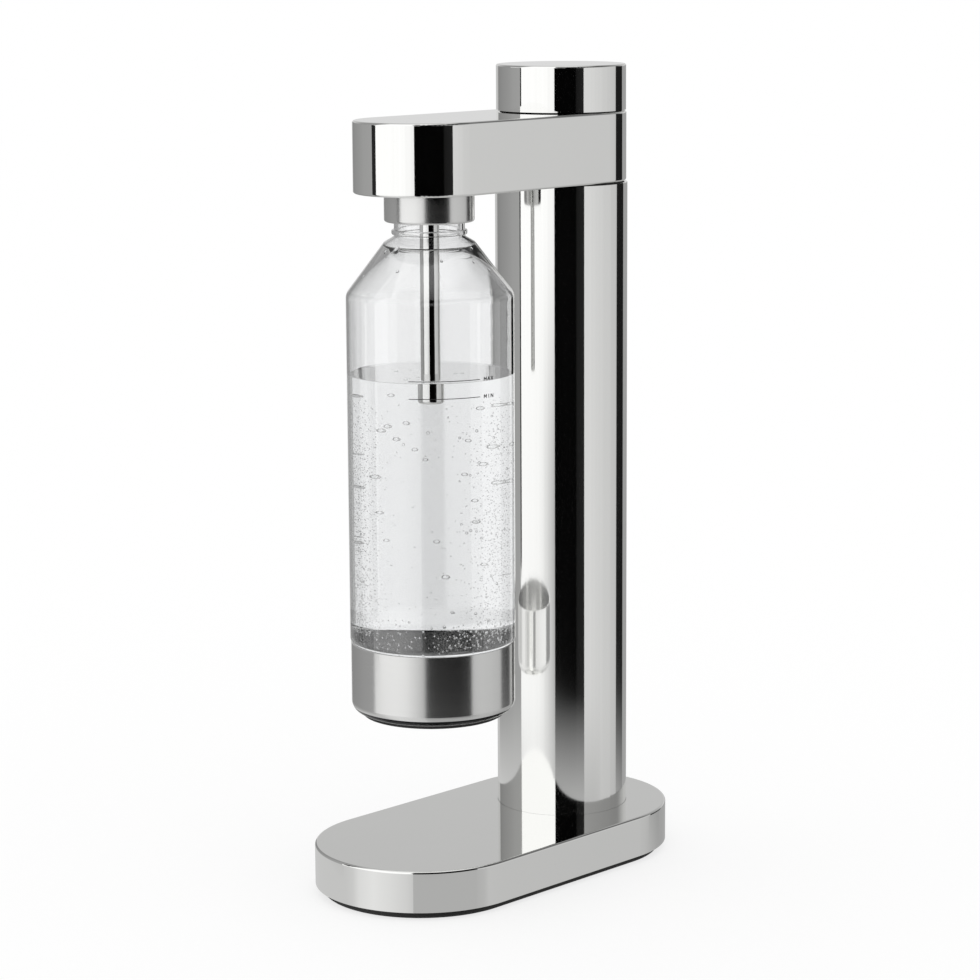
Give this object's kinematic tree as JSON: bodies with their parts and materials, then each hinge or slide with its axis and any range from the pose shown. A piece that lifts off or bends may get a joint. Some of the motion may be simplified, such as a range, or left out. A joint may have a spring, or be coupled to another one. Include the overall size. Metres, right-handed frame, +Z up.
{
  "type": "sparkling water maker",
  "caption": "Home carbonator: mirror-steel column and arm on an oval base, a turn knob on top that opens the gas valve, and a clear bottle in a steel cup screwed in under the arm.",
  "frame": {"origin": "centre of the footprint at the underside of the foot pad, on the table", "axes": "+Z up, -Y forward to the bottle, X across the base"},
  "size_m": [0.113, 0.221, 0.4242],
  "materials": {
    "polished_steel": "mirror-polished stainless steel",
    "satin_steel": "satin stainless steel, brushed around its axis",
    "inner_steel": "zinc-plated steel plate",
    "spring_steel": "drawn spring wire and turned pin",
    "brass": "turned brass",
    "cylinder_paint": "grey powder-coated gas cylinder",
    "black_rubber": "matte black rubber",
    "black_plastic": "moulded black nylon",
    "white_plastic": "moulded white acetal",
    "clear_plastic": "clear blow-moulded PET"
  },
  "bodies": {
    "stand": {"foot_pad": "black_rubber", "base_plate": "inner_steel", "base_shell": "polished_steel", "column_flange": "inner_steel", "column_tube": "polished_steel", "cylinder_guide": "black_plastic", "arm_spigot": "black_plastic", "arm_shell": "polished_steel", "arm_cover": "black_plastic", "head_plate": "inner_steel", "valve_block": "brass", "valve_seal": "black_rubber", "plunger_guide": "inner_steel", "knob_bush": "black_plastic", "gas_tube": "brass", "nozzle_block": "brass", "relief_valve": "brass", "bottle_collar": "satin_steel", "thread_insert": "white_plastic", "nozzle_tube": "polished_steel", "nozzle_tip": "polished_steel"},
    "knob": {"knob_shell": "polished_steel", "knob_hub": "black_plastic", "knob_cam": "white_plastic"},
    "plunger": {"plunger": "white_plastic", "return_spring": "spring_steel"},
    "gas_cylinder": {"gas_cylinder": "cylinder_paint", "cylinder_valve": "brass"},
    "valve_pin": {"valve_pin": "spring_steel"},
    "bottle_seal": {"bottle_seal": "black_rubber"},
    "bottle": {"bottle_body": "clear_plastic", "bottle_cup": "satin_steel", "bottle_foot_ring": "black_rubber"}
  },
  "joints": [
    {"name": "knob_turn", "type": "hinge", "parent": "stand", "child": "knob", "pos_m": [0, 0.054, 0.41], "axis": [0, 0, -1], "range_deg": [0, 60], "stiffness_Nm_per_rad": 0.3, "springref_deg": -17.19},
    {"name": "plunger_press", "type": "slide", "parent": "stand", "child": "plunger", "axis": [0, 0, -1], "range_m": [0, 0.003], "deforming": ["return_spring"]},
    {"name": "cylinder_unscrew", "type": "hinge", "parent": "stand", "child": "gas_cylinder", "pos_m": [0, 0.054, 0.18], "axis": [0, 0, -1], "range_deg": [0, 1080]},
    {"name": "pin_press", "type": "slide", "parent": "gas_cylinder", "child": "valve_pin", "axis": [0, 0, -1], "range_m": [0, 0.003]},
    {"name": "bottle_unscrew", "type": "hinge", "parent": "stand", "child": "bottle_seal", "pos_m": [0, -0.0454, 0.362], "axis": [0, 0, -1], "range_deg": [0, 540]},
    {"name": "bottle_lower", "type": "slide", "parent": "bottle_seal", "child": "bottle", "axis": [0, 0, -1], "range_m": [0, 0.06]}
  ],
  "couplings": [
    {"joint": "plunger_press", "follows": "knob_turn", "m_per_rad": 0.0028647},
    {"joint": "pin_press", "follows": "knob_turn", "m_per_rad": 0.0028647}
  ]
}
